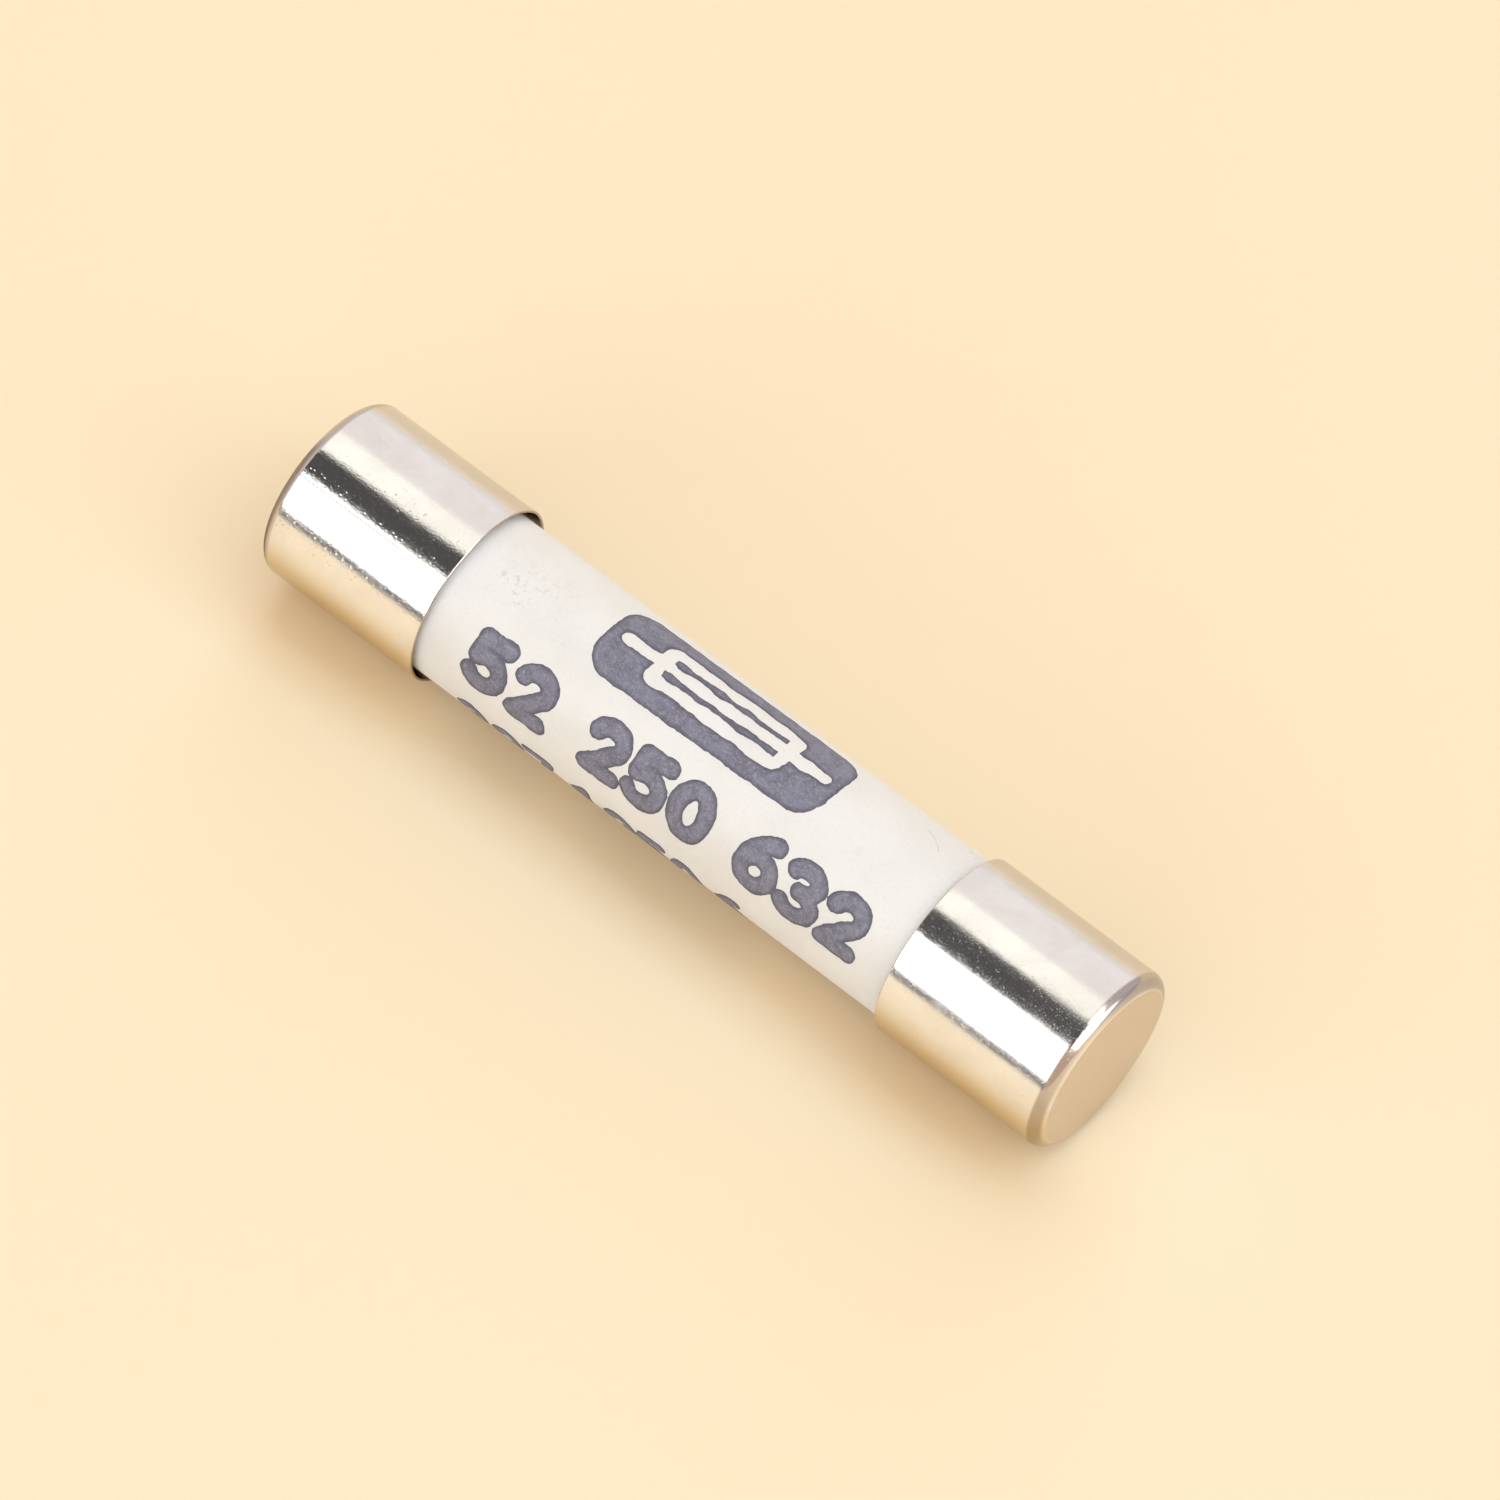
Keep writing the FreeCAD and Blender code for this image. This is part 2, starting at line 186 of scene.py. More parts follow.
class Surface:
    """A node material with short calls for the nodes it is built from."""

    def __init__(self, name, **constants):
        self.material = bpy.data.materials.new(name)
        self.material.use_nodes = True
        self.tree = self.material.node_tree
        self.shader = self.tree.nodes["Principled BSDF"]
        for socket, value in constants.items():
            self.shader.inputs[socket.replace("_", " ")].default_value = value
        place = self.add("ShaderNodeTexCoord", {}, "Object")
        self.place = self.vector("MULTIPLY", place, (1 / MM, 1 / MM, 1 / MM))
        self.x, self.y, self.z = self.split(self.place)

    def add(self, kind, inputs, output=0, **settings):
        """One node with its inputs linked or set; gives back one of its outputs."""
        node = self.tree.nodes.new(kind)
        for setting, value in settings.items():
            setattr(node, setting, value)
        for socket, value in inputs.items():
            if isinstance(value, bpy.types.NodeSocket):
                self.tree.links.new(value, node.inputs[socket])
            else:
                node.inputs[socket].default_value = value
        return node.outputs[output]

    def split(self, vector):
        """The three parts of a vector."""
        node = self.add("ShaderNodeSeparateXYZ", {0: vector}).node
        return node.outputs[0], node.outputs[1], node.outputs[2]

    def join(self, x, y, z):
        """A vector from its three parts."""
        return self.add("ShaderNodeCombineXYZ", {0: x, 1: y, 2: z})

    def vector(self, operation, first, second):
        """A sum on two vectors."""
        return self.add("ShaderNodeVectorMath", {0: first, 1: second}, operation=operation)

    def math(self, operation, first, second=0.0, third=0.0):
        """A sum on up to three numbers."""
        return self.add("ShaderNodeMath", {0: first, 1: second, 2: third}, operation=operation)

    def noise(self, vector, scale, detail=3.0, roughness=0.5, distortion=0.0):
        """Cloudy noise, about 0 to 1, with this many waves in a millimetre."""
        inputs = {
            "Vector": vector, "Scale": scale, "Detail": detail,
            "Roughness": roughness, "Distortion": distortion,
        }
        return self.add("ShaderNodeTexNoise", inputs, "Fac")

    def cells(self, vector, scale, output="Distance"):
        """Distance to the nearest of a scatter of points, or the colour of its cell."""
        return self.add("ShaderNodeTexVoronoi", {"Vector": vector, "Scale": scale}, output)

    def fade(self, value, low, high, to_low=0.0, to_high=1.0):
        """A soft step: to_low where the value is at low, to_high where it is at high.

        low may be the larger of the two, for a step that falls as the value grows.
        """
        inputs = {0: value, 1: low, 2: high, 3: to_low, 4: to_high}
        return self.add("ShaderNodeMapRange", inputs, interpolation_type="SMOOTHSTEP")

    def product(self, *shares):
        """Two or more shares multiplied."""
        result = shares[0]
        for share in shares[1:]:
            result = self.math("MULTIPLY", result, share)
        return result

    def blend(self, share, first, second):
        """A colour this share of the way from the first to the second."""
        return self.add("ShaderNodeMix", {0: share, 6: first, 7: second}, 2, data_type="RGBA")

    def mark(self, name):
        """The number that make_piece gave each point under this name."""
        return self.add("ShaderNodeAttribute", {}, "Fac", attribute_name=name)

    def bump(self, height, depth, below=None):
        """Relief of this depth in millimetres, laid over another relief."""
        inputs = {"Height": height, "Distance": depth * MM, "Strength": 1.0}
        if below is not None:
            inputs["Normal"] = below
        return self.add("ShaderNodeBump", inputs)

    def set(self, **sockets):
        """Link these to the shader's sockets and give back the finished material."""
        for socket, value in sockets.items():
            self.tree.links.new(value, self.shader.inputs[socket.replace("_", " ")])
        return self.material


# ---------------------------------------------------------------- materials

# Lines of small pits that run the length of a cap, and one draw line on the left cap: the distance
# round the cap from its top, and the reach to either side.
HANDLED_LINES = [(1.55, 0.2), (3.25, 0.16)]
DRAW_LINE = 1.83


def cap_places(skin):
    """Where the colour and finish of the caps change, most of them places of painted reflections: a share,
    0 to 1, for each place.

    A turn is the round between the side wall and the closed face; corner is the part of it by the wall.
    """
    closed_end = skin.mark("closed_end")
    on_left = skin.fade(skin.x, 4.0, -4.0)
    on_right = skin.fade(on_left, 1.0, 0.0)
    near_side = skin.fade(skin.y, -0.05 * CAP_RADIUS, -0.35 * CAP_RADIUS)
    far_side = skin.fade(skin.y, -0.3 * CAP_RADIUS, 0.35 * CAP_RADIUS)
    on_turn = skin.fade(closed_end, 0.95, 0.8, 0.0, 1.0)
    off_side = skin.fade(closed_end, 0.0, 0.15)
    before_face = skin.fade(closed_end, 0.6, 0.85, 1.0, 0.0)
    lower_half = skin.fade(skin.z, 0.32 * CAP_RADIUS, -0.12 * CAP_RADIUS)
    above_floor = skin.fade(skin.z, -0.5 * CAP_RADIUS, -0.95 * CAP_RADIUS, 1.0, 0.4)
    # The corner, the two turns, the line and the face of the closed end, the back and the lower half carry
    # painted reflections in cap_tint.
    return {
        "left": on_left,
        "right": on_right,
        "off_face": skin.fade(closed_end, 0.1, 0.5, 1.0, 0.1),
        "corner": skin.product(off_side, before_face),
        "left_turn_reflection": skin.product(skin.fade(closed_end, 0.15, 0.35), on_turn, on_left, near_side),
        "right_turn_reflection": skin.product(skin.fade(closed_end, 0.3, 0.45), on_turn, on_right, far_side),
        "face_edge_highlight": skin.fade(closed_end, 0.8, 0.92),
        "face": skin.fade(closed_end, 0.95, 0.995),
        "back": skin.fade(skin.y, 0.42 * CAP_RADIUS, 0.62 * CAP_RADIUS),
        "below": skin.product(lower_half, above_floor),
    }


def cap_pits(skin, around, on):
    """Share of small pits, in patches and along lines: few on the right cap and on the faces."""
    pit_here = skin.fade(skin.noise(skin.place, 0.9, 3.0, 0.6), 0.5, 0.64)
    for middle, reach in HANDLED_LINES:
        off_line = skin.math("ABSOLUTE", skin.math("SUBTRACT", around, middle))
        pit_here = skin.math("MAXIMUM", pit_here, skin.fade(off_line, reach * 0.4, reach, 1.0, 0.0))
    pits = skin.fade(skin.cells(skin.place, 5.5), 0.08, 0.26, 1.0, 0.0)
    return skin.product(pits, pit_here, skin.fade(on["left"], 0.0, 1.0, 0.1, 1.0), on["off_face"])


def cap_tint(skin, on, smudge, pits, cut_edge):
    """Colour of the plate with its painted reflections: each line lays one colour over those before it."""
    # Painted reflection on the turn by the side wall: darker, and browner at the near side of the right
    # cap.
    browner = skin.product(skin.fade(skin.y, -0.8 * CAP_RADIUS, -0.95 * CAP_RADIUS), on["right"])
    corner_reflection_tint = skin.blend(browner, (0.46, 0.4, 0.34, 1), (0.32, 0.22, 0.13, 1))
    tint = skin.blend(skin.fade(smudge, 0.35, 0.7), (0.89, 0.87, 0.86, 1), (0.83, 0.8, 0.785, 1))
    tint = skin.blend(skin.product(pits, 0.2), tint, (0.4, 0.36, 0.32, 1))
    # Painted reflection: the back of each cap is darker.
    tint = skin.blend(skin.product(on["back"], 0.55), tint, (0.58, 0.54, 0.54, 1))
    # Painted reflection: the lower half takes the warm brown of the shaded floor, less of it at the very
    # bottom.
    tint = skin.blend(on["below"], tint, (0.745, 0.615, 0.42, 1))
    # Lays that painted reflection on the corner of the turn.
    tint = skin.blend(skin.product(on["corner"], 0.62), tint, corner_reflection_tint)
    # Painted reflection: a dark violet-grey on the near side of the left cap's turn.
    tint = skin.blend(skin.product(on["left_turn_reflection"], 0.8), tint, (0.305, 0.264, 0.27, 1))
    # Painted reflection: a grey-violet on the far side of the right cap's turn.
    tint = skin.blend(skin.product(on["right_turn_reflection"], 0.7), tint, (0.42, 0.4, 0.46, 1))
    # Painted highlight: a pale line where the turn meets the closed face.
    tint = skin.blend(skin.product(on["face_edge_highlight"], 0.25), tint, (0.9, 0.83, 0.78, 1))
    # Painted reflection: the closed faces carry the warm tan of the floor beside them.
    tint = skin.blend(on["face"], tint, (0.71, 0.61, 0.51, 1))
    return skin.blend(cut_edge, tint, (0.46, 0.34, 0.27, 1))


def cap_roughness(skin, on, smudge, lines, cut_edge):
    """Roughness of the plate: smudges, speckles and lines, more on the right cap and at cut edges."""
    speckled = skin.fade(skin.noise(skin.place, 16.0, 2.0), 0.5, 0.75, 0.0, 0.14)
    rough = skin.fade(smudge, 0.3, 0.75, 0.075, 0.13)
    for more in (
        skin.fade(on["left"], 0.0, 1.0, 0.045, 0.0),
        skin.product(speckled, skin.fade(on["face"], 0.0, 1.0, 1.0, 0.15)),
        skin.fade(lines, 0.35, 0.7, -0.015, 0.03),
        skin.product(cut_edge, 0.15),
        skin.product(on["face"], 0.07),
    ):
        rough = skin.math("ADD", rough, more)
    return rough


def nickel():
    """Bright nickel plate over drawn brass: fine grain, faint lines along the cap, pits and smudges.

    The left cap is crisp and pitted, the right one a little duller; both carry painted reflections, darker
    at the back, warm in the lower half and tinted round the turns and faces.
    """
    skin = Surface("nickel_plate", Metallic=1.0)
    along = skin.join(skin.product(skin.x, 0.3), skin.y, skin.z)
    around = skin.product(skin.math("ARCTAN2", skin.y, skin.z), -CAP_RADIUS)
    lines = skin.noise(along, 9.0, 3.0, 0.6)
    smudge = skin.noise(skin.place, 0.55, 5.0, 0.6, 0.6)
    grain = skin.noise(skin.place, 13.0, 3.0, 0.6)
    on = cap_places(skin)
    pits = cap_pits(skin, around, on)
    cut_edge = skin.product(skin.mark("cut_edge"), skin.fade(grain, 0.3, 0.6, 0.5, 1.0))
    off_line = skin.math("ABSOLUTE", skin.math("SUBTRACT", around, DRAW_LINE))
    draw_line = skin.product(skin.fade(off_line, 0.0, 0.03, 1.0, 0.0), skin.fade(skin.x, -10.5, -11.5))

    less_on_right = skin.fade(on["left"], 0.0, 1.0, 0.3, 1.0)
    relief = skin.bump(lines, 0.0008)
    toothed = skin.product(grain, less_on_right, skin.fade(on["face"], 0.0, 1.0, 1.0, 0.1))
    relief = skin.bump(toothed, 0.0035, relief)
    relief = skin.bump(pits, -0.004, relief)
    relief = skin.bump(draw_line, -0.003, relief)
    return skin.set(
        Base_Color=cap_tint(skin, on, smudge, pits, cut_edge),
        Roughness=cap_roughness(skin, on, smudge, lines, cut_edge),
        # Painted shade in the reflections: a darker, warmer specular tint on the near side of the left
        # cap's turn.
        Specular_Tint=skin.blend(on["left_turn_reflection"], (0.9, 0.9, 0.9, 1), (0.5, 0.47, 0.42, 1)),
        Normal=relief,
    )


# Places on the ceramic of faint grey marks, painted shade by the cap mouths and rub marks elsewhere: along
# the tube, angle, reach and strength.
GREY_MARKS_AND_MOUTH_SHADE = [
    (-7.6, 6.0, 1.3, 0.9),
    (-6.4, -4.0, 0.9, 0.7),
    (-5.2, 22.0, 0.8, 0.3),
    (8.6, -42.0, 0.8, 0.5),
    (6.4, 14.0, 1.0, 0.25),
    (-2.0, 150.0, 1.6, 0.5),
    (5.5, -120.0, 1.8, 0.5),
]


def ceramic():
    """Unglazed pressed ceramic: fine tooth, faint clouding, grey marks (painted shade by the cap mouths,
    rub marks elsewhere) and a scratch.
    """
    body = Surface("ceramic_body", Roughness=0.5, Specular_IOR_Level=0.3)
    cloud = body.noise(body.place, 0.45, 4.0, 0.55)
    tooth = body.noise(body.place, 22.0, 4.0, 0.7)
    ripple = body.noise(body.place, 2.6, 3.0, 0.5)
    pores = body.fade(body.cells(body.place, 3.4), 0.02, 0.07, 1.0, 0.0)
    pores = body.product(pores, body.fade(body.noise(body.place, 1.3, 1.0), 0.55, 0.65))

    marked_and_shaded = 0.0
    for x, angle, reach, strength in GREY_MARKS_AND_MOUTH_SHADE:
        turn = math.radians(angle)
        centre = (x, -TUBE_RADIUS * math.sin(turn), TUBE_RADIUS * math.cos(turn))
        away = body.add("ShaderNodeVectorMath", {0: body.place, 1: centre}, 1, operation="DISTANCE")
        marked_and_shaded = body.math("ADD", marked_and_shaded, body.fade(away, 0.0, reach, strength, 0.0))
    speckle = body.fade(body.noise(body.place, 4.2, 5.0, 0.75), 0.52, 0.66)
    marked_and_shaded = body.product(marked_and_shaded, speckle)

    around = body.product(body.math("ARCTAN2", body.y, body.z), -TUBE_RADIUS)
    scratch = body.math(
        "MAXIMUM",
        scratch_mark(body, around, (7.42, -1.56), (0.27, 0.08), 0.05),
        scratch_mark(body, around, (7.88, -1.22), (0.2, 0.26), 0.05),
    )

    dust = body.fade(body.noise(body.place, 11.0, 4.0, 0.75), 0.5, 0.72)
    specks = body.fade(body.cells(body.place, 1.9), 0.03, 0.06, 1.0, 0.0)
    specks = body.product(specks, body.fade(body.noise(body.place, 1.1, 1.0), 0.5, 0.56))

    white = body.blend(body.fade(cloud, 0.35, 0.65), (0.727, 0.711, 0.71, 1), (0.695, 0.681, 0.672, 1))
    white = body.blend(body.product(dust, 0.3), white, (0.52, 0.51, 0.5, 1))
    # Grey marks: painted shade beside the cap mouths, rub marks elsewhere.
    white = body.blend(body.product(marked_and_shaded, 0.6), white, (0.33, 0.35, 0.37, 1))
    white = body.blend(body.product(scratch, 0.5), white, (0.4, 0.4, 0.43, 1))
    white = body.blend(body.product(specks, 0.45), white, (0.3, 0.29, 0.33, 1))
    white = body.blend(body.product(pores, 0.3), white, (0.4, 0.37, 0.33, 1))

    relief = body.bump(ripple, 0.006)
    relief = body.bump(tooth, 0.003, relief)
    relief = body.bump(pores, -0.01, relief)
    return body.set(Base_Color=white, Normal=relief)


def scratch_mark(body, around, middle, half_run, width):
    """Share of a short broken line drawn on the unrolled tube, in millimetres along and round it."""
    length = math.hypot(*half_run)
    run_x, run_y = half_run[0] / length, half_run[1] / length
    off_x = body.math("SUBTRACT", body.x, middle[0])
    off_y = body.math("SUBTRACT", around, middle[1])
    on_line = body.math("ADD", body.product(off_x, run_x), body.product(off_y, run_y))
    off_line = body.math("SUBTRACT", body.product(off_x, run_y), body.product(off_y, run_x))
    wander = body.fade(body.noise(body.place, 1.6, 2.0), 0.2, 0.8, -0.06, 0.06)
    off_line = body.math("ABSOLUTE", body.math("ADD", off_line, wander))
    across = body.fade(off_line, 0.0, width, 1.0, 0.0)
    lengthwise = body.fade(body.math("ABSOLUTE", on_line), length * 0.6, length, 1.0, 0.0)
    broken = body.fade(body.noise(body.place, 7.0, 2.0), 0.35, 0.5)
    return body.product(across, lengthwise, broken)


def ink():
    """Violet-grey marking ink: a darker line where it gathers at the edge, thin and mottled inside."""
    film = Surface("marking_ink")
    blotch = film.noise(film.place, 2.2, 4.0, 0.65)
    grain = film.noise(film.place, 9.0, 4.0, 0.7)
    fine = film.noise(film.place, 24.0, 2.0, 0.6)
    depth = film.mark("ink_depth")
    gathered = film.fade(film.math("ADD", depth, film.product(grain, 0.12)), 0.07, 0.24, 1.0, 0.0)
    colour = film.blend(film.fade(blotch, 0.35, 0.65), (0.106, 0.104, 0.15, 1), (0.168, 0.163, 0.226, 1))
    colour = film.blend(film.fade(grain, 0.46, 0.7, 0.0, 0.7), colour, (0.27, 0.265, 0.335, 1))
    colour = film.blend(film.fade(fine, 0.5, 0.7, 0.0, 0.35), colour, (0.36, 0.355, 0.42, 1))
    colour = film.blend(film.product(gathered, 0.75), colour, (0.062, 0.061, 0.09, 1))
    rough = film.fade(grain, 0.3, 0.7, 0.5, 0.7)
    relief = film.bump(grain, 0.006)
    return film.set(Base_Color=colour, Roughness=rough, Normal=relief)


def grainy(name, light, dark, scale, relief_depth, rough, metallic=0.0):
    """A plain inner material with grain of one size."""
    surface = Surface(name, Roughness=rough, Metallic=metallic)
    grain = surface.noise(surface.place, scale, 5.0, 0.7)
    spots = surface.cells(surface.place, scale * 0.7)
    colour = surface.blend(surface.fade(grain, 0.3, 0.7), (*dark, 1), (*light, 1))
    colour = surface.blend(surface.fade(spots, 0.2, 0.6, 0.35, 0.0), colour, (*dark, 1))
    return surface.set(Base_Color=colour, Normal=surface.bump(grain, relief_depth))


def quartz():
    """Packed quartz grains, each its own shade of cream."""
    sand = Surface("quartz_grains", Roughness=0.45)
    edge = sand.cells(sand.place, 5.5)
    shade = sand.cells(sand.place, 5.5, "Color")
    colour = sand.blend(sand.split(shade)[0], (0.62, 0.55, 0.42, 1), (0.86, 0.82, 0.73, 1))
    return sand.set(Base_Color=colour, Normal=sand.bump(edge, -0.05))


# ---------------------------------------------------------------- caps


def cap_outline():
    """Outline of a pressed cap as (depth from the closed end, radius), from outside to inside."""
    crown = CAP_CROWN
    corner = CAP_CORNER
    inner = CAP_RADIUS - CAP_WALL
    rim = CAP_RIM / 2
    outline = [(0.0, 0.0)]
    outline += [
        (crown * (at / (CAP_RADIUS - corner)) ** 4, at)
        for at in np.linspace(0.0, CAP_RADIUS - corner, 14)[1:-1]
    ]
    outline += arc((corner + crown, CAP_RADIUS - corner), corner, 180, 90, 16)
    outline += run((corner + crown, CAP_RADIUS), (CAP_LENGTH - rim, CAP_RADIUS), 0.16)
    outline += arc((CAP_LENGTH - rim, CAP_RADIUS - rim), rim, 90, -90, 13)
    outline += [(CAP_LENGTH - CAP_RIM_TAPER, inner)]
    outline += run((CAP_LENGTH - CAP_RIM_TAPER, inner), (CAP_FLOOR + CAP_INNER_CORNER, inner), 0.4)
    centre = (CAP_FLOOR + CAP_INNER_CORNER, inner - CAP_INNER_CORNER)
    outline += arc(centre, CAP_INNER_CORNER, 90, 180, 7)
    outline += run((CAP_FLOOR, inner - CAP_INNER_CORNER), (CAP_FLOOR, 0.0), 0.6)
    return outline + [(CAP_FLOOR, 0.0)]


def turn_in(depth, radius):
    """Share of the turn from the side wall (0) to the flat closed end (1) at a point of the outline."""
    across = radius - CAP_RADIUS + CAP_CORNER
    down = CAP_CORNER + CAP_CROWN - depth
    if down <= 0:
        return 0.0
    return 1.0 if across <= 0 else math.atan2(down, across) / (math.pi / 2)


def make_cap(name, side, seed, mouth, bulge, dents):
    """One cap with the small faults of pressing and handling.

    mouth is how far the rim runs past its nominal place: on average, and the swing and angle of its lean.
    bulge is how far the cap is out of round, and the angle it bulges towards.
    """
    outline = cap_outline()
    points, faces, angles = turned(outline, closed=False)
    depth = points[:, 0].copy()
    radius = np.hypot(points[:, 1], points[:, 2])
    circle = np.column_stack([np.cos(angles), np.sin(angles), 0 * angles])

    near_mouth = np.clip((depth - (CAP_LENGTH - 1.6)) / 1.6, 0, 1) ** 1.5
    reach, swing, lean = mouth
    wave = reach + swing * np.cos(angles - math.radians(lean)) + 0.02 * wobble(circle, 0.3, seed)
    depth += near_mouth * wave

    push = 0.0025 * wobble(points, 2.2, seed + 3)
    out_of_round, towards_angle = bulge
    push += (0.4 + 0.6 * near_mouth) * out_of_round * np.cos(angles - math.radians(towards_angle))
    for dent_depth, angle, spread, sink in dents:
        gap = (angles - math.radians(angle) + math.pi) % (2 * math.pi) - math.pi
        away = np.hypot(depth - dent_depth, gap * CAP_RADIUS)
        push -= sink * np.exp(-((away / spread) ** 2))
    push *= np.clip(radius / CAP_RADIUS, 0, 1) ** 2
    scale = np.where(radius > 1e-6, (radius + push) / np.maximum(radius, 1e-6), 1.0)

    points = np.column_stack([side * (CAP_END - depth), points[:, 1] * scale, points[:, 2] * scale])
    ring_sizes = [1 if off < 1e-6 else SIDES_ROUND for _, off in outline]
    before_wave = np.repeat([at for at, _ in outline], ring_sizes)
    marks = {
        "cut_edge": np.clip((before_wave - CAP_LENGTH + 0.03) / 0.02, 0, 1),
        "closed_end": np.repeat([turn_in(at, off) for at, off in outline], ring_sizes),
    }
    return make_piece(f"{name}_shell", points, faces, MATERIALS["cap_metal"], name, marks)


# ---------------------------------------------------------------- tube


def tube_relief(x, angles):
    """Slight unevenness of the fired tube, in millimetres off a true cylinder."""
    places = np.column_stack([x * 0.6, np.cos(angles) * 2, np.sin(angles) * 2])
    return 0.006 * wobble(places, 1.6, 11)


def make_tube():
    """The ceramic tube: outside, chamfered ends and bore."""
    chamfer = TUBE_CHAMFER
    end = TUBE_END
    outline = [(-end + chamfer, TUBE_RADIUS)]
    outline += run((-end + chamfer, TUBE_RADIUS), (end - chamfer, TUBE_RADIUS), 0.3)
    outline += [(end - chamfer, TUBE_RADIUS), (end, TUBE_RADIUS - chamfer), (end, TUBE_BORE_RADIUS)]
    outline += run((end, TUBE_BORE_RADIUS), (-end, TUBE_BORE_RADIUS), 3.0)
    outline += [(-end, TUBE_BORE_RADIUS), (-end, TUBE_RADIUS - chamfer)]
    points, faces, angles = turned(outline, closed=True)
    radius = np.hypot(points[:, 1], points[:, 2])
    outside = np.clip((radius - TUBE_BORE_RADIUS) / (TUBE_RADIUS - TUBE_BORE_RADIUS), 0, 1)
    scale = 1 + tube_relief(points[:, 0], angles) * outside / radius
    points[:, 1] *= scale
    points[:, 2] *= scale
    return make_piece(
        "ceramic_tube_body", points, faces, MATERIALS["ceramic"], "ceramic_tube"
    )


# ---------------------------------------------------------------- printed marks


def curve(centre, reach, start, end, steps=18):
    """Points of a part of an ellipse, in the unit box of a figure, with the angles in degrees."""
    turns = np.radians(np.linspace(start, end, steps))
    return [(centre[0] + reach[0] * math.cos(t), centre[1] + reach[1] * math.sin(t)) for t in turns]


# Pen strokes of plain numerals in a box one wide and one high.
FIGURES = {
    "0": [curve((0.5, 0.5), (0.5, 0.5), 0, 360, 36)],
    "1": [[(0.1, 0.76), (0.52, 1.0), (0.52, 0.0)], [(0.0, 0.0), (1.0, 0.0)]],
    "2": [curve((0.5, 0.72), (0.48, 0.28), 165, -38) + [(0.04, 0.0), (1.0, 0.0)]],
    "3": [
        curve((0.45, 0.76), (0.47, 0.24), 150, -90),
        curve((0.45, 0.26), (0.53, 0.26), 90, -150),
    ],
    "5": [[(0.93, 1.0), (0.14, 1.0), (0.08, 0.56)] + curve((0.45, 0.32), (0.53, 0.32), 128, -150)],
    "6": [
        curve((0.5, 0.31), (0.5, 0.31), 0, 360, 30),
        curve((0.9, 0.3), (0.9, 0.7), 178, 96),
    ],
    "7": [[(0.0, 1.0), (1.0, 1.0), (0.36, 0.0)]],
}


def off_path(u, v, path):
    """Distance from each point (u, v) of the unrolled tube to a path of straight runs."""
    nearest = np.full(u.shape, np.inf)
    for (ax, ay), (bx, by) in zip(path, path[1:]):
        dx, dy = bx - ax, by - ay
        share = ((u - ax) * dx + (v - ay) * dy) / max(dx * dx + dy * dy, 1e-9)
        share = np.clip(share, 0, 1)
        nearest = np.minimum(nearest, np.hypot(u - ax - share * dx, v - ay - share * dy))
    return nearest


def off_box(u, v, half_length, half_height, corner):
    """Signed distance to a rounded rectangle about the middle, negative inside."""
    du = np.abs(u) - half_length + corner
    dv = np.abs(v) - half_height + corner
    outside = np.hypot(np.maximum(du, 0), np.maximum(dv, 0))
    return outside + np.minimum(np.maximum(du, dv), 0) - corner


def flat_wobble(u, v, size, seed):
    """Smooth noise, about -1 to 1, over the unrolled tube."""
    flat = np.column_stack([np.ravel(u), np.ravel(v), np.zeros(np.size(u))])
    return wobble(flat, size, seed).reshape(np.shape(u))


def ragged(u, v, seed):
    """How far ink has crept past its true edge: a coarse and a fine wander, in millimetres."""
    return 0.045 * flat_wobble(u, v, 0.42, seed) + 0.022 * flat_wobble(u, v, 0.13, seed + 1)


def figures_shape(row, width, height, pen, lift):
    """Signed distance to a row of numerals: (figure, left edge) pairs of this width and height.

    lift is how far the row climbs for each millimetre along the tube.
    """
    paths = []
    for figure, left in row:
        for stroke in FIGURES[figure]:
            paths.append([
                (
                    left + pen + x * (width - 2 * pen),
                    (y - 0.5) * (height - 2 * pen) + lift * (left + x * width),
                )
                for x, y in stroke
            ])

    def shape(u, v):
        nearest = np.full(u.shape, np.inf)
        for path in paths:
            nearest = np.minimum(nearest, off_path(u, v, path))
        return nearest - pen

    return shape


def panel_shape(length, height, corner, lift):
    """Signed distance to a rounded panel that leaves the circuit symbol of a fuse open.

    Ink that has run into the symbol makes its lines uneven.
    """
    box_length = 5.3
    box_height = 1.8
    lead = 7.7
    line = 0.22

    def shape(u, v):
        v = v - lift * u
        panel = off_box(u, v, length / 2, height / 2, corner)
        frame_line = np.abs(off_box(u, v, box_length / 2 - line, box_height / 2 - line, 0.1)) - line
        through = off_path(u, v, [(-lead / 2, 0.0), (lead / 2, 0.0)]) - line
        symbol = np.minimum(frame_line, through) + SYMBOL_CLOG * flat_wobble(u, v, 0.7, 57)
        return np.maximum(panel, -symbol)

    return shape


def pull_to_edge(u, v, border, edge, cell):
    """Move the border points of a grid onto the line where edge(u, v) is zero."""
    u, v = u.copy(), v.copy()
    step = cell * 0.25
    for _ in range(2):
        bu, bv = u[border], v[border]
        gap = edge(bu, bv)
        slope_u = (edge(bu + step, bv) - edge(bu - step, bv)) / (2 * step)
        slope_v = (edge(bu, bv + step) - edge(bu, bv - step)) / (2 * step)
        steep = np.maximum(slope_u ** 2 + slope_v ** 2, 0.25)
        reach = np.clip(gap / steep, -cell * 0.6, cell * 0.6)
        u[border] -= reach * slope_u
        v[border] -= reach * slope_v
    return u, v


